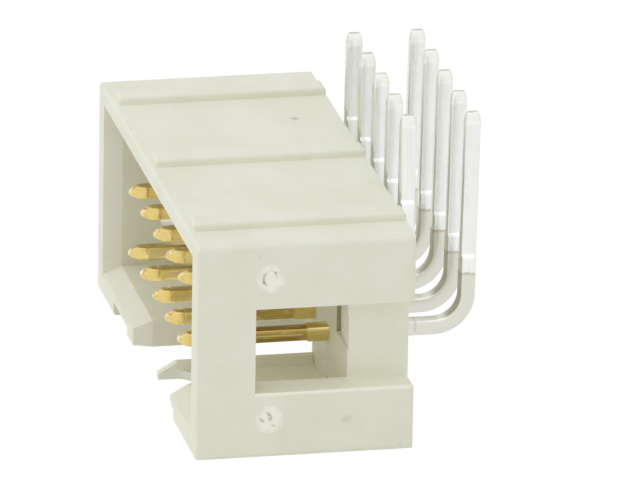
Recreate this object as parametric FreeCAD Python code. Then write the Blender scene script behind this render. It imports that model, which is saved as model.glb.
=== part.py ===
"""Ten-way right-angle box header of the insulation displacement family, in millimetres.

The object is a moulded housing open at its mouth and ten bent contacts pressed
through the block at its rear. It lies with its mouth to -Y, its rows of contacts
along X and its solder tails pointing up, on the flat face away from the board.
While it is built, Y is measured from the mouth and Z from the resting face; each
piece is then moved so that the origin is under the middle of the whole header.
"""
import FreeCAD, Part
import os

# Contact grid
PITCH = 2.54
CONTACTS_PER_ROW = 5
ROW_SPACING = 2.54
ROWS_HEIGHT = 4.44

# Housing, outside
HOUSING_LENGTH = 20.32
HOUSING_DEPTH = 8.56
HOUSING_HEIGHT = 8.65
CORNER_RADIUS = 0.18
MOUTH_EDGE_RADIUS = 0.12
REAR_EDGE_RADIUS = 0.25

# Cavity for the cable plug
CAVITY_DEPTH = 6.17
CAVITY_HEIGHT = 6.28
END_WALL = 1.31
LEAD_IN_DEPTH = 0.72
LEAD_IN_WIDTH = 0.42
LEAD_IN_AT_ENDS = 0.25

# Standoff ribs on the board side
RIB_COUNT = 3
RIB_SPACING = 7.62
RIB_WIDTH = 1.04
RIB_HEIGHT = 0.28
RIB_SETBACK = 0.25
RIB_EDGE_RADIUS = 0.12

# Latch openings in the end walls, open to the rear
LATCH_FRONT = 2.3
LATCH_BOTTOM = 2.63
LATCH_HEIGHT = 3.42
LATCH_EDGE_RADIUS = 0.18

# Shallow pockets in the cavity floor that run out at the latch openings
FLOOR_POCKET_LENGTH = 2.08
FLOOR_POCKET_HEIGHT = 1.34
FLOOR_POCKET_DEPTH = 0.18
FLOOR_POCKET_END_DEPTH = 0.05

# Polarising slot in the wall away from the board
SLOT_WIDTH = 4.6
SLOT_REACH_INTO_BLOCK = 1.35
SLOT_HEIGHT_IN_BLOCK = 2.0
SLOT_LEAD_IN = 0.3

# Coding notch and the groove behind it, beside the slot on the side of contact one
TONGUE_THICKNESS = 0.36
NOTCH_WIDTH = 2.35
NOTCH_DEPTH = 1.3
NOTCH_END_RADIUS = 0.7
GROOVE_DEPTH = 0.32
GROOVE_EDGE_RADIUS = 0.1

# Relief of the underside between the lands, from the slot outwards
SLOT_PAD_WIDTH = 1.55
SLOT_PAD_RELIEF = 0.2
NOTCH_RIM = 0.19
NOTCH_RELIEF = 0.64
FAR_RELIEF_WIDTH = 2.85
NEAR_RELIEF_WIDTH = 0.47
END_RELIEF = 0.52

# Gate marks on the end face beside contact one
GATE_DISTANCE_FROM_MOUTH = 2.86
GATE_HEIGHT = 1.55
GATE_SPACING = 5.73
GATE_DIAMETER = 1.15
GATE_SINK = 0.12
GATE_NIB_DIAMETER = 0.5
GATE_NIB_HEIGHT = 0.03

# Contact wire
PIN_SIZE = 0.53
PIN_BEVEL = 0.06
PIN_SETBACK = 0.25
PIN_NOSE_LENGTH = 0.4
PIN_FLANK_LENGTH = 0.3
PIN_POINT_WIDTH = 0.22
PIN_POINT_HEIGHT = 0.3
PIN_POINT_BEVEL = 0.05
PRESS_SIZE = 0.62
PRESS_BEVEL = 0.03
PRESS_LEAD = 0.87
PRESS_TAIL = 0.44

# Bends and solder tails
WIRE_SIZE = 0.6
WIRE_BEVEL = 0.07
TAIL_OFFSET = 0.68
TAIL_ROW_SPACING = 2.54
TAIL_STAND_OUT = 2.93
BEND_RADIUS_NEAR_ROW = 0.6
BEND_RADIUS_FAR_ROW = 1.3
TAIL_THICKNESS = 0.4
TAIL_WIDTH = 0.62
TAIL_BEVEL = 0.04
TAIL_NOSE_LENGTH = 0.38
TAIL_FLANK_LENGTH = 0.15
TAIL_POINT_THICKNESS = 0.2
TAIL_POINT_WIDTH = 0.38
TAIL_POINT_BEVEL = 0.03
TAIL_LENGTH_NEAR_ROW = 3.43
TAIL_LENGTH_FAR_ROW = 5.91
LEDGE_LENGTH = 0.14

# Places that follow from the sizes
HALF_LENGTH = HOUSING_LENGTH / 2
CAVITY_HALF = HALF_LENGTH - END_WALL
CAVITY_BOTTOM = ROWS_HEIGHT - CAVITY_HEIGHT / 2
CAVITY_TOP = ROWS_HEIGHT + CAVITY_HEIGHT / 2
SLOT_HALF = SLOT_WIDTH / 2
NOTCH_START = SLOT_HALF + TONGUE_THICKNESS
NEAR_TAIL_ROW = HOUSING_DEPTH + TAIL_OFFSET
FAR_TAIL_ROW = NEAR_TAIL_ROW + TAIL_ROW_SPACING
TAIL_TIP_HEIGHT = HOUSING_HEIGHT + RIB_HEIGHT + TAIL_STAND_OUT
TOTAL_DEPTH = FAR_TAIL_ROW + TAIL_WIDTH / 2

# Overshoot of cutting shapes, slack of a comparison, and the share of a gap's width that
# the rounding of one of its two corners may take
BEYOND = 1.0
SLACK = 1e-6
ROUNDING_SHARE = 0.45


def box(low, high):
    """Box between two opposite corners."""
    size = [high[i] - low[i] for i in range(3)]
    return Part.makeBox(size[0], size[1], size[2], FreeCAD.Vector(*low))


def on_side(shape, side):
    """Shape drawn at the end of contact one, or its mirror image at the other end."""
    return shape if side > 0 else shape.mirror(FreeCAD.Vector(), FreeCAD.Vector(1, 0, 0))


def rounded(shape, radius, wanted):
    """Fillet the edges whose bounding boxes pass the test."""
    edges = [edge for edge in shape.Edges if wanted(edge.BoundBox)]
    return shape.makeFillet(radius, edges)


def frustum(first, second):
    """Solid with flat sides between two outlines that have as many corners."""
    count = len(first)
    rings = [first[::-1], second]
    for i in range(count):
        j = (i + 1) % count
        rings.append([first[i], first[j], second[j], second[i]])
    faces = [Part.Face(Part.makePolygon(ring + ring[:1])) for ring in rings]
    return Part.makeSolid(Part.makeShell(faces))


def rim(level, x_half, z_low, z_high):
    """Corners of a rectangle across the cavity at one distance from the mouth."""
    corners = [(-x_half, z_low), (-x_half, z_high), (x_half, z_high), (x_half, z_low)]
    return [FreeCAD.Vector(x, level, z) for x, z in corners]


def outer_block():
    """Block with its long edges and mouth edges rounded."""
    block = box((-HALF_LENGTH, 0, 0), (HALF_LENGTH, HOUSING_DEPTH, HOUSING_HEIGHT))
    block = rounded(block, CORNER_RADIUS, lambda b: b.YLength > HOUSING_DEPTH / 2)
    return rounded(block, MOUTH_EDGE_RADIUS, lambda b: b.YMax < SLACK)


def block_with_arms():
    """Block cut at both ends for the latches, with the arms' rear corners rounded."""
    block = outer_block().cut([latch_opening(side) for side in (-1, 1)])
    top = LATCH_BOTTOM + LATCH_HEIGHT

    def arm_corner(b):
        at_rear = b.YMin > HOUSING_DEPTH - SLACK and b.XLength < HALF_LENGTH
        return at_rear and b.ZLength < SLACK and LATCH_BOTTOM - SLACK < b.ZMin < top + SLACK

    block = rounded(block, LATCH_EDGE_RADIUS, arm_corner)
    return block.cut([rear_corner_waste(side) for side in (-1, 1)])


def rear_corner_waste(side):
    """What the rounding of an end's rear corner takes off."""
    x = HALF_LENGTH - REAR_EDGE_RADIUS
    y = HOUSING_DEPTH - REAR_EDGE_RADIUS
    high = (HALF_LENGTH + BEYOND, HOUSING_DEPTH + BEYOND, HOUSING_HEIGHT + BEYOND)
    corner = box((x, y, -BEYOND), high)
    foot = FreeCAD.Vector(x, y, -BEYOND)
    kept = Part.makeCylinder(REAR_EDGE_RADIUS, HOUSING_HEIGHT + 2 * BEYOND, foot)
    return on_side(corner.cut(kept), side)


def standoff_rib(x_centre):
    """Rib along the board side that keeps the housing off the board."""
    low = (x_centre - RIB_WIDTH / 2, RIB_SETBACK, HOUSING_HEIGHT - CORNER_RADIUS)
    high = (x_centre + RIB_WIDTH / 2, HOUSING_DEPTH, HOUSING_HEIGHT + RIB_HEIGHT)
    rib = box(low, high)
    return rounded(rib, RIB_EDGE_RADIUS, lambda b: b.ZMin > HOUSING_HEIGHT and b.ZLength < SLACK)


def cavity():
    """Space for the cable plug, widened by the lead-in at its mouth."""
    well = box((-CAVITY_HALF, 0, CAVITY_BOTTOM), (CAVITY_HALF, CAVITY_DEPTH, CAVITY_TOP))
    slope = 1 / LEAD_IN_DEPTH
    outside = -BEYOND
    widen = LEAD_IN_WIDTH * (LEAD_IN_DEPTH - outside) * slope
    widen_end = LEAD_IN_AT_ENDS * (LEAD_IN_DEPTH - outside) * slope
    mouth = rim(outside, CAVITY_HALF + widen_end, CAVITY_BOTTOM - widen, CAVITY_TOP + widen)
    throat = rim(LEAD_IN_DEPTH, CAVITY_HALF, CAVITY_BOTTOM, CAVITY_TOP)
    return well.fuse(frustum(mouth, throat))


def latch_opening(side):
    """Opening in one end wall that runs out at the rear and bares the block's end."""
    low = (CAVITY_HALF, LATCH_FRONT, LATCH_BOTTOM)
    high = (HALF_LENGTH + BEYOND, HOUSING_DEPTH + BEYOND, LATCH_BOTTOM + LATCH_HEIGHT)
    return on_side(box(low, high), side)


def floor_pocket(side):
    """Pocket in the cavity floor that grows shallow towards a latch opening."""
    inner = CAVITY_HALF - FLOOR_POCKET_LENGTH
    outline = [(inner, 0), (CAVITY_HALF, 0), (CAVITY_HALF, FLOOR_POCKET_END_DEPTH),
               (inner, FLOOR_POCKET_DEPTH)]
    z = ROWS_HEIGHT - FLOOR_POCKET_HEIGHT / 2
    floor = section([FreeCAD.Vector(x, CAVITY_DEPTH + y, z) for x, y in outline])
    return on_side(floor.extrude(FreeCAD.Vector(0, 0, FLOOR_POCKET_HEIGHT)), side)


def polarising_slot():
    """Slot through the wall that goes on a short way into the rear block."""
    through = box((-SLOT_HALF, -BEYOND, -BEYOND), (SLOT_HALF, CAVITY_DEPTH, CAVITY_BOTTOM + BEYOND))
    reach = CAVITY_DEPTH + SLOT_REACH_INTO_BLOCK
    blind = box((-SLOT_HALF, 0, -BEYOND), (SLOT_HALF, reach, SLOT_HEIGHT_IN_BLOCK))
    wide = SLOT_HALF + SLOT_LEAD_IN
    flare = [(-wide, 0), (-SLOT_HALF, LEAD_IN_DEPTH), (SLOT_HALF, LEAD_IN_DEPTH), (wide, 0)]
    face = section([FreeCAD.Vector(x, y, -BEYOND) for x, y in flare])
    far_half = box((-wide, 0, -BEYOND), (0, LEAD_IN_DEPTH, CAVITY_BOTTOM + BEYOND))
    flared = face.extrude(FreeCAD.Vector(0, 0, CAVITY_BOTTOM + 2 * BEYOND)).common(far_half)
    return through.fuse([blind, flared])


def coding_notch():
    """Notch beside the slot, through the wall at the mouth, with rounded inner corners."""
    x_high = NOTCH_START + NOTCH_WIDTH
    notch = box((NOTCH_START, -BEYOND, -BEYOND), (x_high, NOTCH_DEPTH, CAVITY_BOTTOM + BEYOND))
    radius = min(NOTCH_END_RADIUS, ROUNDING_SHARE * NOTCH_WIDTH, NOTCH_DEPTH)
    return rounded(notch, radius, lambda b: b.YMin > NOTCH_DEPTH - SLACK and b.ZLength > BEYOND)


def coding_groove():
    """Groove in the inside of the wall from the notch to the cavity floor."""
    low = (NOTCH_START, 0, CAVITY_BOTTOM - GROOVE_DEPTH)
    high = (NOTCH_START + NOTCH_WIDTH, CAVITY_DEPTH, CAVITY_BOTTOM + BEYOND)
    radius = min(GROOVE_EDGE_RADIUS, ROUNDING_SHARE * NOTCH_WIDTH, GROOVE_DEPTH)
    return rounded(box(low, high), radius, lambda b: b.ZMax < CAVITY_BOTTOM and b.YLength > BEYOND)


def underside_relief():
    """Material taken off between the lands that the housing lies on."""
    x_pad = -SLOT_HALF - SLOT_PAD_WIDTH
    x_far = x_pad - FAR_RELIEF_WIDTH
    x_notch = NOTCH_START + NOTCH_WIDTH + NOTCH_RIM
    x_near = x_notch + NEAR_RELIEF_WIDTH
    steps = [(x_far, x_pad, END_RELIEF), (x_pad, -SLOT_HALF, SLOT_PAD_RELIEF),
             (-SLOT_HALF, x_notch, NOTCH_RELIEF), (x_notch, x_near, END_RELIEF)]
    rear = HOUSING_DEPTH + BEYOND
    boxes = [box((x_low, -BEYOND, -BEYOND), (x_high, rear, z)) for x_low, x_high, z in steps]
    return boxes[0].fuse(boxes[1:])


def gate_mark(height):
    """Sunk disc left by a moulding gate, with the stub of its runner inside."""
    outward = FreeCAD.Vector(1, 0, 0)
    floor = FreeCAD.Vector(HALF_LENGTH - GATE_SINK, GATE_DISTANCE_FROM_MOUTH, height)
    sink = Part.makeCylinder(GATE_DIAMETER / 2, GATE_SINK + BEYOND, floor, outward)
    nib = Part.makeCylinder(GATE_NIB_DIAMETER / 2, GATE_NIB_HEIGHT, floor, outward)
    return sink.cut(nib)


def contact_seat(x, z):
    """Square passage through the rear block, the size of the pressed wire."""
    front = FreeCAD.Vector(x, CAVITY_DEPTH - BEYOND, z)
    face = section(bevelled_outline(PRESS_SIZE, PRESS_SIZE, PRESS_BEVEL, front, "Y"))
    return face.extrude(FreeCAD.Vector(0, HOUSING_DEPTH - CAVITY_DEPTH + 2 * BEYOND, 0))


def housing():
    """The moulded body."""
    body = block_with_arms()
    first = -(RIB_COUNT - 1) / 2 * RIB_SPACING
    body = body.fuse([standoff_rib(first + i * RIB_SPACING) for i in range(RIB_COUNT)])
    cuts = [cavity(), polarising_slot(), coding_notch(), coding_groove(), underside_relief()]
    cuts += [floor_pocket(side) for side in (-1, 1)]
    cuts += [gate_mark(GATE_HEIGHT + i * GATE_SPACING) for i in range(2)]
    cuts += [contact_seat(x, z) for x, z, _ in contact_places()]
    return body.cut(cuts).removeSplitter()


def bevelled_outline(width, height, bevel, centre, along):
    """Corners of a bevelled rectangle across X, square to the Y or the Z axis."""
    w, h = width / 2, height / 2
    corners = [(-w, -h + bevel), (-w + bevel, -h), (w - bevel, -h), (w, -h + bevel),
               (w, h - bevel), (w - bevel, h), (-w + bevel, h), (-w, h - bevel)]
    if along == "Y":
        return [centre + FreeCAD.Vector(a, 0, b) for a, b in reversed(corners)]
    return [centre + FreeCAD.Vector(a, b, 0) for a, b in corners]


def section(outline):
    """Flat face inside an outline."""
    return Part.Face(Part.makePolygon(outline + outline[:1]))


def contact(x, z, far_row):
    """One contact: pointed mating wire, pressed shank, bend and flattened solder tail."""
    tail_row = FAR_TAIL_ROW if far_row else NEAR_TAIL_ROW
    radius = BEND_RADIUS_FAR_ROW if far_row else BEND_RADIUS_NEAR_ROW
    tail_length = TAIL_LENGTH_FAR_ROW if far_row else TAIL_LENGTH_NEAR_ROW
    tail_start = TAIL_TIP_HEIGHT - tail_length
    ledge = tail_start - LEDGE_LENGTH
    bend_start = tail_row - radius
    press_start = CAVITY_DEPTH - PRESS_LEAD
    press_end = HOUSING_DEPTH + PRESS_TAIL if far_row else HOUSING_DEPTH

    def across(width, height, bevel, y):
        return bevelled_outline(width, height, bevel, FreeCAD.Vector(x, y, z), "Y")

    def square(size, bevel, y):
        return across(size, size, bevel, y)

    def level(thickness, width, bevel, height):
        centre = FreeCAD.Vector(x, tail_row, height)
        return bevelled_outline(thickness, width, bevel, centre, "Z")

    nose_end = PIN_SETBACK + PIN_NOSE_LENGTH
    point_end = nose_end + PIN_FLANK_LENGTH
    rise = (PIN_SIZE - PIN_POINT_WIDTH) / (PIN_NOSE_LENGTH + PIN_FLANK_LENGTH)
    blunt = across(PIN_POINT_WIDTH, PIN_POINT_HEIGHT, PIN_POINT_BEVEL, PIN_SETBACK)
    brow = across(PIN_POINT_WIDTH + rise * PIN_NOSE_LENGTH, PIN_SIZE, PIN_BEVEL, nose_end)
    full = square(PIN_SIZE, PIN_BEVEL, point_end)
    nose = frustum(blunt, brow)
    flank = frustum(brow, full)
    pin = section(full).extrude(FreeCAD.Vector(0, press_start - point_end, 0))
    shank = section(square(PRESS_SIZE, PRESS_BEVEL, press_start))
    shank = shank.extrude(FreeCAD.Vector(0, press_end - press_start, 0))
    wire = section(square(WIRE_SIZE, WIRE_BEVEL, press_end))
    wire = wire.extrude(FreeCAD.Vector(0, bend_start - press_end, 0))

    pivot = FreeCAD.Vector(x, bend_start, z + radius)
    bend = section(square(WIRE_SIZE, WIRE_BEVEL, bend_start))
    bend = bend.revolve(pivot, FreeCAD.Vector(1, 0, 0), 90)
    riser = section(level(WIRE_SIZE, WIRE_SIZE, WIRE_BEVEL, z + radius))
    riser = riser.extrude(FreeCAD.Vector(0, 0, ledge - z - radius))

    brow_height = TAIL_TIP_HEIGHT - TAIL_NOSE_LENGTH
    tail_end = brow_height - TAIL_FLANK_LENGTH
    step_top = level(TAIL_THICKNESS, TAIL_WIDTH, TAIL_BEVEL, tail_start)
    step = frustum(level(WIRE_SIZE, WIRE_SIZE, WIRE_BEVEL, ledge), step_top)
    tail = section(step_top).extrude(FreeCAD.Vector(0, 0, tail_end - tail_start))
    fall = (TAIL_THICKNESS - TAIL_POINT_THICKNESS) / (TAIL_NOSE_LENGTH + TAIL_FLANK_LENGTH)
    tail_brow = level(TAIL_THICKNESS - fall * TAIL_FLANK_LENGTH, TAIL_WIDTH, TAIL_BEVEL, brow_height)
    tail_flank = frustum(level(TAIL_THICKNESS, TAIL_WIDTH, TAIL_BEVEL, tail_end), tail_brow)
    tip = level(TAIL_POINT_THICKNESS, TAIL_POINT_WIDTH, TAIL_POINT_BEVEL, TAIL_TIP_HEIGHT)
    tail_nose = frustum(tail_brow, tip)
    lengths = [flank, pin, shank, wire, bend, riser, step, tail, tail_flank, tail_nose]
    return nose.fuse(lengths).removeSplitter()


def contact_places():
    """Place of each contact: X, height of its row, and whether its tail is in the far row."""
    first = -(CONTACTS_PER_ROW - 1) / 2 * PITCH
    rows = [(ROWS_HEIGHT - ROW_SPACING / 2, True), (ROWS_HEIGHT + ROW_SPACING / 2, False)]
    return [(-(first + i * PITCH), z, far) for i in range(CONTACTS_PER_ROW) for z, far in rows]


def export(shape, name):
    """Centre one piece under the header's origin and write it."""
    moved = shape.copy()
    moved.translate(FreeCAD.Vector(0, -TOTAL_DEPTH / 2, 0))
    moved.exportStep("parts/" + name + ".step")
    print(name, "solids", len(moved.Solids), "volume", round(moved.Volume, 3), moved.isValid())


os.makedirs("parts", exist_ok=True)
export(housing(), "housing")
for number, (x, z, far) in enumerate(contact_places(), start=1):
    export(contact(x, z, far), "contact_%02d" % number)
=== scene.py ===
"""Looks of a ten-way right-angle box header, in metres and in the frame of its solids.

The moulded housing keeps its solid and gets a moulded finish. Each contact is a wire
formed along its own path and stands for its solid, and two gate scars sit on the end
face beside contact one.
"""
import math

import bmesh
import bpy
from mathutils import Matrix, Vector, noise


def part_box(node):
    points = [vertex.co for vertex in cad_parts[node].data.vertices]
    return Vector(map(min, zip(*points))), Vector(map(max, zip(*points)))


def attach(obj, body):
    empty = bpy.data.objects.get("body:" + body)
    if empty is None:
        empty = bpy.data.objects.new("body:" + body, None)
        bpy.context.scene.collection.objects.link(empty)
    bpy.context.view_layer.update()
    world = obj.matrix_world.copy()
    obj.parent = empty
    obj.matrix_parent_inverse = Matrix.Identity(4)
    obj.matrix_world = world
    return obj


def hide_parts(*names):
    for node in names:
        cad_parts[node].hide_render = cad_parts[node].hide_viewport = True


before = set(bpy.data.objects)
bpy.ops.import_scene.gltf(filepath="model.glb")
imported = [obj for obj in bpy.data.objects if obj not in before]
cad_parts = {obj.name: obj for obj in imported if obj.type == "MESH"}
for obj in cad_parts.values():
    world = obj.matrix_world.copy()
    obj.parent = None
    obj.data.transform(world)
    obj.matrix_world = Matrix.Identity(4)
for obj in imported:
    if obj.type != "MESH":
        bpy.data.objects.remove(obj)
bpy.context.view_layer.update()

MM = 0.001

# Where the photograph was taken from
CAMERA_AZIMUTH = 78.01
CAMERA_ELEVATION = 19.39
CAMERA_ROLL = 0.895
CAMERA_DISTANCE = 467.7 * MM
CAMERA_AIM = Vector((0.133, 0.833, 5.147)) * MM
CAMERA_LENS = 672.2

# Sections of the contact wire
PIN_SIZE = 0.53 * MM
PIN_NOSE_LENGTH = 0.4 * MM
PIN_FLANK_LENGTH = 0.3 * MM
PIN_POINT_WIDTH = 0.22 * MM
PRESS_SIZE = 0.62 * MM
PRESS_START = -0.745 * MM
PRESS_RAMP = 0.09 * MM
PRESS_TAIL = 0.44 * MM
WIRE_SIZE = 0.6 * MM
TAIL_THICKNESS = 0.4 * MM
TAIL_WIDTH = 0.62 * MM
TAIL_NOSE_LENGTH = 0.38 * MM
TAIL_FLANK_LENGTH = 0.15 * MM
TAIL_POINT_THICKNESS = 0.2 * MM
TAIL_POINT_WIDTH = 0.38 * MM
LEDGE_LENGTH = 0.11 * MM
CORNER_SHARE = 0.13
CORNER_STEPS = 4
BEND_STEPS = 16

# Bend radius, tail length and outward lean in degrees of the row by the housing and of the outer row
BEND_RADIUS = {"near": 0.6 * MM, "far": 1.3 * MM}
TAIL_LENGTH = {"near": 3.43 * MM, "far": 5.79 * MM}
TAIL_LEAN = {"near": 0.4, "far": 1.0}

# Gate scars on the end face
GATE_FROM_MOUTH = 2.86 * MM
GATE_HEIGHTS = (1.55 * MM, 7.28 * MM)
GATE_RADIUS = 0.575 * MM
TORN_DEPTH = 0.03 * MM
PIT_BRIM = 0.025 * MM
PIT_DEPTH = 0.1 * MM

# Specks in the housing's plastic, in millimetres: place, radius and how dark it is
SPECKS = [
    ((10.16, -0.24, 1.39), 0.2, 0.13),
    ((10.16, -0.08, 1.43), 0.2, 0.13),
    ((-4.399, 0.7, 8.65), 0.3, 0.3),
    ((-4.399, 0.716, 8.65), 0.15, 0.3),
    ((-4.099, -5.937, 8.65), 0.07, 0.6),
    ((10.16, 1.98, 0.22), 0.09, 0.15),
    ((10.16, -3.656, 8.221), 0.07, 0.2),
]

# Painted highlight on the arms, painted shade on the floor pockets and cavity floor of the housing; a pair
# is where a look changes
ARM_TOP = 2.6 * MM
ARM_START = (-3.8 * MM, -3.7 * MM)
ARM_INNER_EDGE = (8.8 * MM, 8.88 * MM)
ARM_OUTER_EDGE = (9.96 * MM, 10.12 * MM)
POCKET_WALL = 6.77 * MM
POCKET_START = (0.127 * MM, 0.14 * MM)
POCKET_END = (0.31 * MM, 0.33 * MM)
CAVITY_MIDDLE = 4.4 * MM
CAVITY_HALF = (3.4 * MM, 3.5 * MM)
CAVITY_FLOOR = 0.125 * MM

# Looks along the contacts, each as the pair of places between which it changes
NOSE_TO_FLANK = (-5.3 * MM, -5.2 * MM)
COINED_TO_DRAWN = (-5.15 * MM, -5.0 * MM)
FLANK_TO_PIN = (-5.1 * MM, -5.0 * MM)
MOUTH_START = (-5.03 * MM, -4.97 * MM)
MOUTH_END = (-4.4 * MM, -3.6 * MM)
INTO_CAVITY = (-4.3 * MM, -3.5 * MM)
WINDOW_START = (-4.6 * MM, -4.0 * MM)
SPARKS_START = (-4.2 * MM, -3.6 * MM)
SPARKS_END = (-1.0 * MM, -0.8 * MM)
WINDOW_END = (-1.0 * MM, -0.8 * MM)
PIN_TO_SHANK = (-0.8 * MM, -0.66 * MM)
GOLD_TO_TIN = (0.6 * MM, 0.9 * MM)
FIRST_COLUMN = (4.0 * MM, 4.4 * MM)
PRESS_MARK = 3.55 * MM
PRESSED_START = (2.95 * MM, 3.1 * MM)
PRESSED_END = (3.9 * MM, 4.0 * MM)
VEINS_START = (4.3 * MM, 5.1 * MM)
SHADED_END = (5.0 * MM, 6.5 * MM)
PLATING_START = (5.34 * MM, 5.41 * MM)
PLATING_END = (5.44 * MM, 5.5 * MM)
DULL_TO_BRIGHT = (5.42 * MM, 5.5 * MM)


def srgb(red, green, blue):
    """Linear colour of a shade given in screen levels from 0 to 255."""
    levels = [c / 255 for c in (red, green, blue)]
    return [c / 12.92 if c <= 0.04045 else ((c + 0.055) / 1.055) ** 2.4 for c in levels] + [1.0]


PEBBLE_GREY = srgb(239, 239, 221)
PEBBLE_SHADE = srgb(235, 234, 213)
SPECK_GREY = srgb(150, 152, 146)
PAINTED_RECESS_SHADE = srgb(160, 163, 130)
SCAR_WHITE = srgb(252, 252, 236)
PAINTED_PIT_SHADE = srgb(176, 173, 148)
PAINTED_ARM_HIGHLIGHT = srgb(255, 254, 236)
PALE_GOLD = srgb(250, 232, 166)
DEEP_GOLD = srgb(240, 215, 138)
SHADED_GOLD = srgb(140, 108, 48)
HIGHLIGHT_GOLD = srgb(255, 247, 216)
PAINTED_CAVITY_SHADE = srgb(186, 159, 87)
FACET_SHADE_GOLD = srgb(220, 194, 114)
BRIGHT_TIN = srgb(237, 239, 235)
DULL_TIN = srgb(221, 220, 208)
GREY_TIN = srgb(225, 225, 216)
TIP_TIN = srgb(227, 228, 220)
SHADED_TIN = srgb(140, 138, 116)
CUT_METAL = srgb(200, 197, 186)
PLATING_EDGE = srgb(158, 122, 98)


class Value:
    """What a node gives out; arithmetic on it adds Math nodes."""

    def __init__(self, maker, socket):
        self.maker = maker
        self.socket = socket

    def __add__(self, other):
        return self.maker.math("ADD", self, other)

    __radd__ = __add__

    def __sub__(self, other):
        return self.maker.math("SUBTRACT", self, other)

    def __rsub__(self, other):
        return self.maker.math("SUBTRACT", other, self)

    def __mul__(self, other):
        return self.maker.math("MULTIPLY", self, other)

    __rmul__ = __mul__


class Maker:
    """Adds nodes to one tree."""

    def __init__(self, tree):
        self.tree = tree
        tree.nodes.clear()

    def node(self, kind, settings=None, inputs=None):
        """One node: its settings first, then a value or a link for each socket."""
        made = self.tree.nodes.new(kind)
        for name, setting in (settings or {}).items():
            setattr(made, name, setting)
        for name, given in (inputs or {}).items():
            if isinstance(given, Value):
                self.tree.links.new(given.socket, made.inputs[name])
            else:
                made.inputs[name].default_value = given
        return made

    def out(self, kind, settings=None, inputs=None, output=0):
        """One output of a new node."""
        return Value(self, self.node(kind, settings, inputs).outputs[output])

    def math(self, operation, *terms):
        return self.out("ShaderNodeMath", {"operation": operation}, dict(enumerate(terms)))

    def step(self, value, start, end):
        """0 up to start and 1 from end on, with a smooth rise between them."""
        inputs = {"Value": value, "From Min": start, "From Max": end}
        return self.out("ShaderNodeMapRange", {"interpolation_type": "SMOOTHSTEP"}, inputs)

    def span(self, value, rise, fall):
        """1 from the end of a rise to the start of a fall, each given as its start and end."""
        return self.step(value, *rise) * (1 - self.step(value, *fall))

    def band(self, value, middle, core, reach):
        """1 within the core on both sides of a middle, falling to 0 at the reach."""
        return 1 - self.step(self.math("ABSOLUTE", value - middle), core, reach)

    def axes(self, vector):
        """X, Y and Z of a vector."""
        parts = self.node("ShaderNodeSeparateXYZ", None, {"Vector": vector})
        return [Value(self, parts.outputs[i]) for i in range(3)]

    def mix(self, factor, first, second):
        """Colour between two colours."""
        inputs = {0: factor, 6: first, 7: second}
        return self.out("ShaderNodeMix", {"data_type": "RGBA"}, inputs, 2)

    def cloud(self, place, scale, detail=2.0):
        """Noise from 0 to 1 with that many features to a metre."""
        inputs = {"Vector": place, "Scale": scale, "Detail": detail}
        return self.out("ShaderNodeTexNoise", None, inputs, "Fac")

    def stretched(self, place, scale):
        """Place with each axis scaled."""
        inputs = {"Vector": place, "Scale": scale}
        return self.out("ShaderNodeMapping", {"vector_type": "POINT"}, inputs)

    def reach(self, place, point):
        """How far a place is from a point."""
        return self.out("ShaderNodeVectorMath", {"operation": "DISTANCE"}, {0: place, 1: point}, "Value")

    def near(self, place, point, radius):
        """1 at a point, falling to 0 at the radius."""
        return 1 - self.step(self.reach(place, point), 0.3 * radius, radius)

    def bump(self, height, strength, distance):
        """Normal of a surface that rises by up to a distance."""
        inputs = {"Height": height, "Strength": strength, "Distance": distance}
        return self.out("ShaderNodeBump", None, inputs)


def new_finish(name, constants):
    """A material with one Principled shader, its maker and that shader."""
    material = bpy.data.materials.new(name)
    material.use_nodes = True
    maker = Maker(material.node_tree)
    shader = maker.node("ShaderNodeBsdfPrincipled", None, constants)
    output = maker.node("ShaderNodeOutputMaterial")
    maker.tree.links.new(shader.outputs[0], output.inputs["Surface"])
    return material, maker, shader


def connect(maker, shader, **values):
    """Link varying values to the shader's sockets."""
    for name, value in values.items():
        maker.tree.links.new(value.socket, shader.inputs[name.replace("_", " ")])


def moulded_plastic():
    """Matt thermoplastic: faint clouds, mould grain, specks, a painted arm highlight and painted shade in
    recesses.
    """
    material, maker, shader = new_finish("pebble_grey_plastic", {"IOR": 1.5})
    place = maker.out("ShaderNodeTexCoord", None, None, "Object")
    x, y, z = maker.axes(place)
    clouds = maker.cloud(place, 380, 3.0)
    flow = maker.cloud(maker.stretched(place, (0.35, 1.0, 1.0)), 900)
    grain = maker.cloud(place, 14000)
    tone = maker.step(0.6 * clouds + 0.4 * flow, 0.36, 0.64)
    colour = maker.mix(tone, PEBBLE_SHADE, PEBBLE_GREY)
    for point, radius, depth in SPECKS:
        spot = maker.near(place, Vector(point) * MM, radius * MM) * depth
        colour = maker.mix(spot, colour, SPECK_GREY)
    outward = maker.math("ABSOLUTE", x)
    # Painted highlight on the lower arms' top faces, strongest at their rounded outer edge.
    arm_highlight = maker.step(outward, *ARM_INNER_EDGE) * 0.4 + maker.step(outward, *ARM_OUTER_EDGE) * 0.5
    arm_highlight = arm_highlight * maker.band(z, ARM_TOP, 0.03 * MM, 0.14 * MM) * maker.step(y, *ARM_START)
    colour = maker.mix(arm_highlight, colour, PAINTED_ARM_HIGHLIGHT)
    # Painted shade on the narrow pocket walls.
    pocket_shade = maker.band(outward, POCKET_WALL, 0.01 * MM, 0.03 * MM)
    pocket_shade = pocket_shade * maker.span(y, POCKET_START, POCKET_END)
    inside = maker.band(z, CAVITY_MIDDLE, *CAVITY_HALF)
    colour = maker.mix(pocket_shade * inside, colour, PAINTED_RECESS_SHADE)
    # Painted shade on the cavity floor.
    floor = maker.band(y, CAVITY_FLOOR, 0.03 * MM, 0.05 * MM)
    floor = floor * (1 - maker.step(outward, *ARM_INNER_EDGE))
    colour = maker.mix(floor * inside * 0.28, colour, PAINTED_RECESS_SHADE)
    roughness = 0.46 + 0.1 * clouds + 0.06 * grain
    bump = maker.bump(grain + 0.5 * flow, 0.35, 0.006 * MM)
    connect(maker, shader, Base_Color=colour, Roughness=roughness, Normal=bump)
    return material


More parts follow.
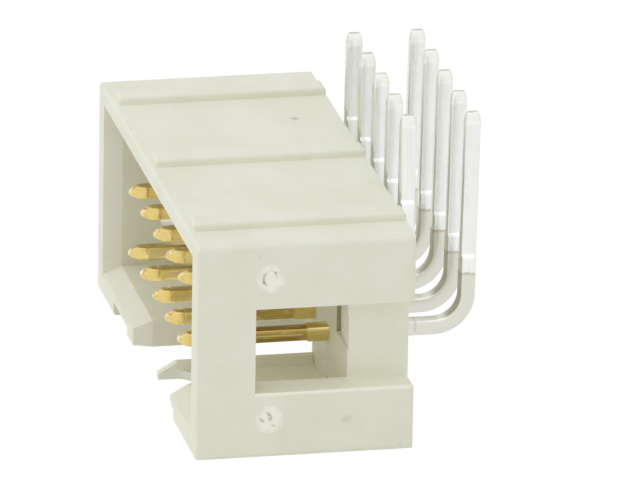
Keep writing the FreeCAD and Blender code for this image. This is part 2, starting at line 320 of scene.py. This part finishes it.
def torn_plastic():
    """Broken gate: stretched light plastic with painted shade down in its pits."""
    material, maker, shader = new_finish("torn_plastic", {"IOR": 1.5})
    place = maker.out("ShaderNodeTexCoord", None, None, "Object")
    rough = maker.cloud(place, 2600, 2.0)
    ragged = 0.7 * MM * (rough - 0.5)
    middles = [gate_centre(height) - Vector((TORN_DEPTH, 0, 0)) for height in GATE_HEIGHTS]
    reaches = [maker.reach(place, middle) + ragged for middle in middles]
    torn = sum(1 - maker.step(reach, 0.3 * MM, 0.58 * MM) for reach in reaches)
    colour = maker.mix(torn, PEBBLE_GREY, SCAR_WHITE)
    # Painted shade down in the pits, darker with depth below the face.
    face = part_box("housing")[1].x
    pits = 1 - maker.step(maker.axes(place)[0], face - PIT_DEPTH, face - PIT_BRIM)
    colour = maker.mix(pits, colour, PAINTED_PIT_SHADE)
    bump = maker.bump(rough, 0.5, 0.02 * MM)
    connect(maker, shader, Base_Color=colour, Roughness=0.4 + 0.2 * rough, Normal=bump)
    return material


def plated_wire():
    """Copper alloy wire, gold on its mating length and tin from the block to the tail."""
    material, maker, shader = new_finish("plated_wire", {"Metallic": 1.0})
    place = maker.out("ShaderNodeTexCoord", None, None, "Object")
    facing = maker.out("ShaderNodeTexCoord", None, None, "Normal")
    y = maker.axes(place)[1]
    drawn = maker.cloud(maker.stretched(place, (1.0, 0.06, 1.0)), 9000)
    rolled = maker.cloud(maker.stretched(place, (1.0, 1.0, 0.05)), 8000)
    patches = maker.cloud(place, 1500, 3.0)
    gold = 1 - maker.step(y, *GOLD_TO_TIN)
    gold_colour = gold_plating(maker, place, facing, drawn, patches)
    tin_colour, bright = tin_plating(maker, place, facing, rolled, patches)
    colour = maker.mix(gold, tin_colour, gold_colour)
    streaks = gold * drawn + (1 - gold) * rolled
    in_mouth = maker.span(y, FLANK_TO_PIN, INTO_CAVITY)
    roughness = 0.18 + 0.1 * streaks + (1 - gold) * 0.08 * (1 - bright) + 0.2 * in_mouth
    coined = maker.cloud(place, 2600) * (1 - maker.step(y, *COINED_TO_DRAWN))
    bump = maker.bump(streaks + 0.6 * patches + 4 * coined, 0.5, 0.008 * MM)
    connect(maker, shader, Base_Color=colour, Roughness=roughness, Normal=bump)
    return material


def gold_plating(maker, place, facing, drawn, patches):
    """Gold with painted shade on its tops, deeper in the cavity and under the window's pin, painted
    highlights and reflections on its coined points, and a painted glint in the window.
    """
    x, y, z = maker.axes(place)
    _, facing_y, facing_z = maker.axes(facing)
    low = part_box("contact_01")[0]
    row_height = low.z + PRESS_SIZE / 2
    colour = maker.mix(maker.step(0.5 * drawn + 0.5 * patches, 0.4, 0.6), DEEP_GOLD, PALE_GOLD)
    # Painted shade on the gold deeper in the cavity.
    colour = maker.mix(maker.step(y, *INTO_CAVITY) * 0.8, colour, PAINTED_CAVITY_SHADE)
    # Painted reflection of the shaded cavity roof: upward faces darker.
    colour = maker.mix(maker.step(facing_z, 0.3, 0.8) * 0.45, colour, SHADED_GOLD)
    # Painted shade, patchy, on the tip faces turned towards the mouth.
    facet_shade = (1 - maker.step(facing_y, -0.2, -0.1)) * (1 - maker.step(y, *FLANK_TO_PIN))
    colour = maker.mix(facet_shade * (0.1 + patches), colour, FACET_SHADE_GOLD)
    # Painted highlight on the rounded nose faces turned to the mouth.
    nose_highlight = (1 - maker.step(facing_y, -0.62, -0.34)) * (1 - maker.step(y, *NOSE_TO_FLANK))
    colour = maker.mix(nose_highlight * 0.45, colour, HIGHLIGHT_GOLD)
    # The tips are coined; these dark and light spots on them, most on upward faces, are painted
    # reflections.
    coined_reflections = maker.cloud(place, 6500)
    coined = 1 - maker.step(y, low.y + 0.15 * MM, low.y + 0.35 * MM)
    coined = coined * (0.2 + 0.8 * maker.step(facing_z, 0.05, 0.3))
    colour = maker.mix(maker.step(coined_reflections, 0.53, 0.62) * coined * 0.6, colour, SHADED_GOLD)
    colour = maker.mix((1 - maker.step(coined_reflections, 0.36, 0.47)) * coined * 0.7, colour, HIGHLIGHT_GOLD)
    colour = maker.mix(maker.step(y, *PIN_TO_SHANK) * 0.55, colour, PALE_GOLD)
    # Painted sparkle highlights along the pins inside the housing.
    sparks = maker.step(maker.cloud(maker.stretched(place, (1.0, 0.1, 1.0)), 13000), 0.58, 0.68)
    sparks = sparks * maker.span(y, SPARKS_START, SPARKS_END)
    colour = maker.mix(sparks * 0.9, colour, PALE_GOLD)
    in_window = maker.span(y, WINDOW_START, WINDOW_END) * maker.step(x, *FIRST_COLUMN)
    # Painted shade, streaked along the drawing, on the lower row just inside the mouth.
    lower_row = 1 - maker.step(z, CAVITY_MIDDLE - 0.1 * MM, CAVITY_MIDDLE)
    in_mouth = maker.span(y, MOUTH_START, MOUTH_END)
    colour = maker.mix(in_mouth * lower_row * maker.step(drawn, 0.4, 0.56) * 0.36, colour, SHADED_GOLD)
    # Painted shade under the pin beside the window.
    belly_shade = 1 - maker.step(z, row_height - 0.12 * MM, row_height - 0.05 * MM)
    colour = maker.mix(belly_shade * in_window * 0.5, colour, SHADED_GOLD)
    glint = maker.band(z, row_height + 0.01 * MM, 0.01 * MM, 0.05 * MM) * in_window
    return maker.mix(glint * (0.4 + drawn), colour, PALE_GOLD)


def tin_plating(maker, place, facing, rolled, patches):
    """Tin with a press mark, an edge of the plating, a bare cut tip and painted shade on its inward faces,
    and where it is bright.
    """
    _, y, z = maker.axes(place)
    facing_y = maker.axes(facing)[1]
    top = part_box("contact_01")[1].z
    uneven_height = z + 0.25 * MM * patches
    bright = maker.step(uneven_height, *DULL_TO_BRIGHT)
    colour = maker.mix(bright, DULL_TIN, BRIGHT_TIN)
    edge = maker.span(uneven_height, PLATING_START, PLATING_END)
    colour = maker.mix(edge * (0.1 + 0.6 * rolled), colour, PLATING_EDGE)
    veins = maker.step(maker.cloud(maker.stretched(place, (1.0, 1.0, 0.08)), 5200), 0.56, 0.66)
    veins = veins * (1 - bright) * maker.step(z, *VEINS_START)
    colour = maker.mix(veins * 0.35, colour, PLATING_EDGE)
    pressed = maker.band(y, PRESS_MARK, 0.02 * MM, 0.08 * MM) * maker.span(z, PRESSED_START, PRESSED_END)
    colour = maker.mix(pressed * 0.35, colour, SHADED_TIN)
    colour = maker.mix(maker.step(0.6 * rolled + 0.4 * patches, 0.42, 0.6) * 0.3, colour, GREY_TIN)
    colour = maker.mix(maker.step(z, top - 0.41 * MM, top - 0.36 * MM) * 0.8, colour, TIP_TIN)
    cut = maker.step(z, top - 0.025 * MM, top - 0.005 * MM) * maker.step(patches, 0.3, 0.6)
    colour = maker.mix(cut, colour, CUT_METAL)
    # Painted shade on the faces turned inward to the housing, more low down.
    inward = 1 - maker.step(facing_y, -0.8, -0.3)
    shaded = 0.15 + 0.15 * (1 - maker.step(z, *SHADED_END))
    return maker.mix(inward * shaded, colour, SHADED_TIN), bright


def piece_from(name, mesh, finish):
    """A finished piece at the origin that rides on the one body."""
    mesh.name = name
    mesh.materials.clear()
    mesh.materials.append(finish)
    piece = bpy.data.objects.new(name, mesh)
    bpy.context.scene.collection.objects.link(piece)
    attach(piece, "root")
    return piece


def clean(mesh):
    """Weld a mesh, turn its faces outwards and smooth it between its sharp edges."""
    work = bmesh.new()
    work.from_mesh(mesh)
    bmesh.ops.remove_doubles(work, verts=work.verts, dist=0.0005 * MM)
    bmesh.ops.recalc_face_normals(work, faces=work.faces)
    work.to_mesh(mesh)
    work.free()
    mesh.shade_smooth()
    mesh.set_sharp_from_angle(angle=math.radians(32))


def wire_forming_tree():
    """Sweeps a rounded square along a path, sized by the path's width and depth."""
    tree = bpy.data.node_groups.new("wire_forming", "GeometryNodeTree")
    inputs = [("Path", "NodeSocketGeometry"), ("Corner Share", "NodeSocketFloat"),
              ("Corner Steps", "NodeSocketInt"), ("Finish", "NodeSocketMaterial")]
    for name, kind in inputs:
        tree.interface.new_socket(name=name, in_out="INPUT", socket_type=kind)
    tree.interface.new_socket(name="Wire", in_out="OUTPUT", socket_type="NodeSocketGeometry")
    maker = Maker(tree)
    given = maker.node("NodeGroupInput")
    path, share, steps, finish = (Value(maker, given.outputs[i]) for i in range(len(inputs)))

    def path_value(name, kind):
        return maker.out("GeometryNodeInputNamedAttribute", {"data_type": kind}, {"Name": name})

    def vector(operation, first, second):
        return maker.out("ShaderNodeVectorMath", {"operation": operation}, {0: first, 1: second})

    position = maker.out("GeometryNodeInputPosition")
    curve = maker.out("GeometryNodeMeshToCurve", None, {"Mesh": path})
    settings = {"data_type": "FLOAT_VECTOR", "domain": "POINT"}
    store = {"Geometry": curve, "Name": "centre", "Value": position}
    curve = maker.out("GeometryNodeStoreNamedAttribute", settings, store)
    square = maker.out("GeometryNodeCurvePrimitiveQuadrilateral", None, {"Width": 1.0, "Height": 1.0})
    rounding = {"Curve": square, "Radius": share, "Count": steps}
    square = maker.out("GeometryNodeFilletCurve", {"mode": "POLY"}, rounding)
    sweep = {"Curve": curve, "Profile Curve": square, "Fill Caps": True}
    swept = maker.out("GeometryNodeCurveToMesh", None, sweep)
    centre = path_value("centre", "FLOAT_VECTOR")
    depth = path_value("depth", "FLOAT")
    sizes = {0: path_value("width", "FLOAT"), 1: depth, 2: depth}
    size = maker.out("ShaderNodeCombineXYZ", None, sizes)
    offset = vector("MULTIPLY", vector("SUBTRACT", position, centre), size)
    placed = {"Geometry": swept, "Position": vector("ADD", centre, offset)}
    formed = maker.out("GeometryNodeSetPosition", None, placed)
    whole = maker.out("GeometryNodeRealizeInstances", None, {"Geometry": formed})
    finished = maker.out("GeometryNodeSetMaterial", None, {"Geometry": whole, "Material": finish})
    output = maker.node("NodeGroupOutput")
    tree.links.new(finished.socket, output.inputs["Wire"])
    return tree


def contact_path(low, high, row):
    """Points of a contact's centreline as (Y, Z, width across the row, depth in its plane)."""
    height = low.z + PRESS_SIZE / 2
    tail_row = high.y - TAIL_WIDTH / 2
    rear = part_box("housing")[1].y
    press_end = rear + PRESS_TAIL if row == "far" else rear
    radius = BEND_RADIUS[row]
    lean = math.radians(TAIL_LEAN[row])
    tail_start = high.z - TAIL_LENGTH[row]
    ledge = tail_start - LEDGE_LENGTH
    tail_brow = high.z - TAIL_NOSE_LENGTH
    bend_end = height + radius * (1 - math.sin(lean))
    bend_start = tail_row - (tail_brow - bend_end) * math.tan(lean) - radius * math.cos(lean)
    tail_end = tail_brow - TAIL_FLANK_LENGTH
    brow = low.y + PIN_NOSE_LENGTH
    shoulder = brow + PIN_FLANK_LENGTH
    crease = 0.015 * MM

    def pin(y, width, depth=None):
        return (y, height, width, depth or width)

    def riser(z, width, depth):
        return (tail_row - (tail_brow - z) * math.tan(lean), z, width, depth)

    rise = (PIN_SIZE - PIN_POINT_WIDTH) / (PIN_NOSE_LENGTH + PIN_FLANK_LENGTH)
    brow_width = PIN_POINT_WIDTH + rise * PIN_NOSE_LENGTH
    path = []
    for share in (0.0, 0.02, 0.06, 0.12, 0.22, 0.36, 0.54, 0.76):
        blunt = min(1.0, 0.6 + 6 * share)
        width = blunt * (PIN_POINT_WIDTH + rise * PIN_NOSE_LENGTH * share)
        depth = blunt * PIN_SIZE * (0.24 + 0.76 * share ** 0.72)
        path.append(pin(low.y + share * PIN_NOSE_LENGTH, width, depth))
    path += [pin(brow - crease, brow_width - rise * crease, PIN_SIZE - crease / 2),
             pin(brow + crease, brow_width + rise * crease, PIN_SIZE),
             pin(shoulder - crease, PIN_SIZE - rise * crease, PIN_SIZE), pin(shoulder + crease, PIN_SIZE)]
    path += [pin(PRESS_START, PIN_SIZE), pin(PRESS_START + PRESS_RAMP, PRESS_SIZE)]
    path += [pin(press_end - crease, PRESS_SIZE), pin(press_end + crease, WIRE_SIZE)]
    for i in range(BEND_STEPS + 1):
        turn = (math.pi / 2 - lean) * i / BEND_STEPS
        y = bend_start + radius * math.sin(turn)
        z = height + radius * (1 - math.cos(turn))
        path.append((y, z, WIRE_SIZE, WIRE_SIZE))
    path += [riser(ledge - crease, WIRE_SIZE, WIRE_SIZE),
             riser(ledge + crease, 0.96 * WIRE_SIZE, WIRE_SIZE)]
    path += [riser(tail_start - crease, 1.04 * TAIL_THICKNESS, TAIL_WIDTH),
             riser(tail_start + crease, TAIL_THICKNESS, TAIL_WIDTH),
             riser(tail_end - crease, TAIL_THICKNESS, TAIL_WIDTH)]
    fall = (TAIL_THICKNESS - TAIL_POINT_THICKNESS) / (TAIL_NOSE_LENGTH + TAIL_FLANK_LENGTH)
    brow_thickness = TAIL_THICKNESS - fall * TAIL_FLANK_LENGTH
    path += [riser(tail_end + crease, TAIL_THICKNESS - fall * crease, TAIL_WIDTH),
             riser(tail_brow - crease, brow_thickness + fall * crease, TAIL_WIDTH),
             riser(tail_brow + crease, brow_thickness - fall * crease, TAIL_WIDTH - crease / 2)]
    for share in (0.2, 0.4, 0.58, 0.74, 0.87, 0.95, 1.0):
        sink = 1 - math.sqrt(1 - 0.96 * share ** 2.4)
        thickness = brow_thickness + (TAIL_POINT_THICKNESS - brow_thickness) * share
        width = TAIL_WIDTH + (TAIL_POINT_WIDTH - TAIL_WIDTH) * (0.35 * share + 0.8 * sink)
        path.append(riser(tail_brow + share * TAIL_NOSE_LENGTH, thickness, width))
    return path


def formed_contact(number, tree, finish):
    """One contact, swept along its own path."""
    node = "contact_%02d" % number
    low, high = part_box(node)
    x = (low.x + high.x) / 2
    path = contact_path(low, high, "far" if number % 2 else "near")
    mesh = bpy.data.meshes.new(node + "_path")
    edges = [(i, i + 1) for i in range(len(path) - 1)]
    mesh.from_pydata([(x, y, z) for y, z, _, _ in path], edges, [])
    for name, index in (("width", 2), ("depth", 3)):
        sizes = mesh.attributes.new(name, "FLOAT", "POINT")
        sizes.data.foreach_set("value", [station[index] for station in path])
    wire = bpy.data.objects.new(node + "_path", mesh)
    bpy.context.scene.collection.objects.link(wire)
    modifier = wire.modifiers.new("forming", "NODES")
    modifier.node_group = tree
    given = {"Corner Share": CORNER_SHARE, "Corner Steps": CORNER_STEPS, "Finish": finish}
    for item in tree.interface.items_tree:
        if item.name in given:
            modifier[item.identifier] = given[item.name]
    depsgraph = bpy.context.evaluated_depsgraph_get()
    formed = bpy.data.meshes.new_from_object(wire.evaluated_get(depsgraph))
    wire.modifiers.remove(modifier)
    bpy.data.objects.remove(wire)
    for name in ("centre", "width", "depth"):
        formed.attributes.remove(formed.attributes[name])
    for vertex in formed.vertices:
        vertex.co.y = min(vertex.co.y, high.y)
        vertex.co.z = min(vertex.co.z, high.z)
    clean(formed)
    piece = piece_from("formed_" + node, formed, finish)
    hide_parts(node)
    return piece


def stroke(point, start, end, width):
    """1 on a straight scratch between two points, falling to 0 at its width."""
    along = end - start
    share = max(0.0, min(1.0, (point - start).dot(along) / along.length_squared))
    gap = (point - start - share * along).length
    return math.exp(-(gap / width) ** 2)


def gate_centre(height):
    """Where a gate's middle meets the end face."""
    low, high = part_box("housing")
    return Vector((high.x, low.y + GATE_FROM_MOUTH, height))


def gate_scar(name, height, strokes, finish):
    """Broken gate: an uneven light lip round a torn middle, as a disc on the end face."""
    rings, spokes = 26, 72
    face, centre_y, _ = gate_centre(height)
    work = bmesh.new()
    rows = []
    for ring in range(rings + 1):
        radius = GATE_RADIUS / MM * ring / rings
        row = []
        for spoke in range(spokes if ring else 1):
            turn = 2 * math.pi * spoke / spokes
            point = Vector((radius * math.cos(turn), radius * math.sin(turn)))
            rough = noise.noise(Vector((point.x * 5, point.y * 5, height / MM)))
            fine = noise.noise(Vector((point.x * 17, point.y * 17, height / MM + 9)))
            lip = max(0.0, min(1.0, (radius - 0.26 - 0.16 * rough) / 0.2))
            depth = -0.025 + 0.02 * lip + 0.008 * fine * (1 - lip) + 0.008 * rough
            for start, end, width, level in strokes:
                depth += level * stroke(point, Vector(start), Vector(end), width)
            depth = min(-0.001, max(-0.115, depth))
            if ring == rings:
                depth = -0.001
            row.append(work.verts.new((face + depth * MM, centre_y + point.x * MM, height + point.y * MM)))
        rows.append(row)
    for spoke in range(spokes):
        after = (spoke + 1) % spokes
        work.faces.new((rows[0][0], rows[1][spoke], rows[1][after]))
        for ring in range(1, rings):
            inner, outer = rows[ring], rows[ring + 1]
            work.faces.new((inner[spoke], outer[spoke], outer[after], inner[after]))
    base = [work.verts.new((face - 0.125 * MM, v.co.y, v.co.z)) for v in rows[rings]]
    for spoke in range(spokes):
        after = (spoke + 1) % spokes
        work.faces.new((rows[rings][spoke], base[spoke], base[after], rows[rings][after]))
    work.faces.new(base[::-1])
    mesh = bpy.data.meshes.new(name)
    work.to_mesh(mesh)
    work.free()
    clean(mesh)
    return piece_from(name, mesh, finish)


def gate_scars(finish):
    """The two broken gates beside contact one."""
    torn = [
        ((-0.14, 0.28), (-0.25, 0.12), 0.07, -0.035),
        ((-0.25, 0.12), (-0.29, -0.03), 0.07, -0.025),
        ((-0.29, -0.03), (-0.26, -0.16), 0.07, -0.03),
        ((-0.26, -0.16), (-0.15, -0.3), 0.07, -0.04),
        ((0.04, 0.33), (0.2, 0.22), 0.07, -0.035),
        ((0.2, 0.22), (0.25, 0.02), 0.07, -0.025),
        ((-0.1, -0.25), (0.48, -0.2), 0.06, 0.03),
        ((-0.04, 0.2), (-0.06, -0.1), 0.09, 0.015),
    ]
    pitted = [
        ((-0.36, 0.02), (-0.22, -0.08), 0.08, -0.05),
        ((-0.04, 0.24), (0.07, 0.06), 0.07, -0.05),
        ((0.07, 0.06), (0.02, -0.06), 0.07, -0.045),
        ((0.14, -0.26), (0.26, -0.3), 0.07, -0.04),
        ((-0.12, 0.12), (-0.06, -0.15), 0.09, 0.03),
        ((0.18, 0.1), (0.2, -0.12), 0.08, 0.03),
    ]
    gate_scar("gate_scar_low", GATE_HEIGHTS[0], pitted, finish)
    gate_scar("gate_scar_high", GATE_HEIGHTS[1], torn, finish)


def stage():
    """White floor that keeps a faint shadow, and even white light from all round."""
    material = bpy.data.materials.new("white_floor")
    material.use_nodes = True
    maker = Maker(material.node_tree)
    seen = background_seen(maker)
    matt = maker.out("ShaderNodeBsdfDiffuse", None, {"Color": (0.9, 0.9, 0.9, 1)})
    glow = maker.out("ShaderNodeEmission", None, {"Color": (1, 1, 1, 1), "Strength": 1.04})
    mixed = maker.out("ShaderNodeMixShader", None, {0: 0.15 + 0.77 * seen, 1: matt, 2: glow})
    maker.node("ShaderNodeOutputMaterial", None, {"Surface": mixed})
    half = 1.5
    mesh = bpy.data.meshes.new("floor")
    corners = [(-half, -half, 0), (half, -half, 0), (half, half, 0), (-half, half, 0)]
    mesh.from_pydata(corners, [], [(0, 1, 2, 3)])
    mesh.materials.append(material)
    floor = bpy.data.objects.new("floor", mesh)
    bpy.context.scene.collection.objects.link(floor)

    world = bpy.data.worlds.new("studio")
    world.use_nodes = True
    bpy.context.scene.world = world
    maker = Maker(world.node_tree)
    strength = 0.65 + 0.35 * background_seen(maker)
    sky = maker.out("ShaderNodeBackground", None, {"Color": (1, 1, 1, 1), "Strength": strength})
    maker.node("ShaderNodeOutputWorld", None, {"Surface": sky})


def background_seen(maker):
    """1 for the rays that see the background itself, in the lens, a gloss or a glass."""
    path = maker.node("ShaderNodeLightPath")
    rays = ("Is Camera Ray", "Is Glossy Ray", "Is Transmission Ray")
    camera, glossy, through = (Value(maker, path.outputs[name]) for name in rays)
    return maker.math("MAXIMUM", maker.math("MAXIMUM", camera, glossy), through)


def soft_light(name, azimuth, elevation, distance, size, level, tint=(1, 1, 1)):
    """Square lamp aimed at the header that adds that level to a white face turned to it."""
    lamp = bpy.data.lights.new(name, "AREA")
    lamp.shape = "SQUARE"
    lamp.size = size
    lamp.color = tint
    lamp.energy = level * math.pi ** 2 * distance ** 2
    light = bpy.data.objects.new(name, lamp)
    light.matrix_world = aimed(CAMERA_AIM, azimuth, elevation, 0, distance)
    bpy.context.scene.collection.objects.link(light)


def aimed(target, azimuth, elevation, roll, distance):
    """Place and turn of what looks at a target from an azimuth and an elevation."""
    a, e, r = (math.radians(angle) for angle in (azimuth, elevation, roll))
    back = Vector((math.sin(a) * math.cos(e), -math.cos(a) * math.cos(e), math.sin(e)))
    level = Vector((0, 0, 1)).cross(back).normalized()
    upright = back.cross(level)
    right = math.cos(r) * level + math.sin(r) * upright
    up = back.cross(right)
    turn = Matrix((right, up, back)).transposed().to_4x4()
    return Matrix.Translation(target + back * distance) @ turn


def camera():
    """The view of the photograph."""
    lens = bpy.data.cameras.new("camera")
    lens.sensor_width = 36
    lens.lens = CAMERA_LENS
    lens.clip_start = 0.01
    eye = bpy.data.objects.new("camera", lens)
    eye.matrix_world = aimed(CAMERA_AIM, CAMERA_AZIMUTH, CAMERA_ELEVATION, CAMERA_ROLL, CAMERA_DISTANCE)
    bpy.context.scene.collection.objects.link(eye)
    bpy.context.scene.camera = eye


camera()
stage()
soft_light("top_light", 20, 78, 0.6, 0.5, 0.15, (0.9, 0.97, 1.2))
soft_light("mouth_light", -25, 30, 0.6, 0.45, 0.18)
soft_light("side_light", 95, 25, 0.7, 0.5, 0.07)

housing_finish = moulded_plastic()
scar_finish = torn_plastic()
wire_finish = plated_wire()
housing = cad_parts["housing"]
housing.data.materials.clear()
housing.data.materials.append(housing_finish)
gate_scars(scar_finish)
forming = wire_forming_tree()
for count in range(1, 11):
    formed_contact(count, forming, wire_finish)

bpy.context.scene.view_settings.view_transform = "Standard"
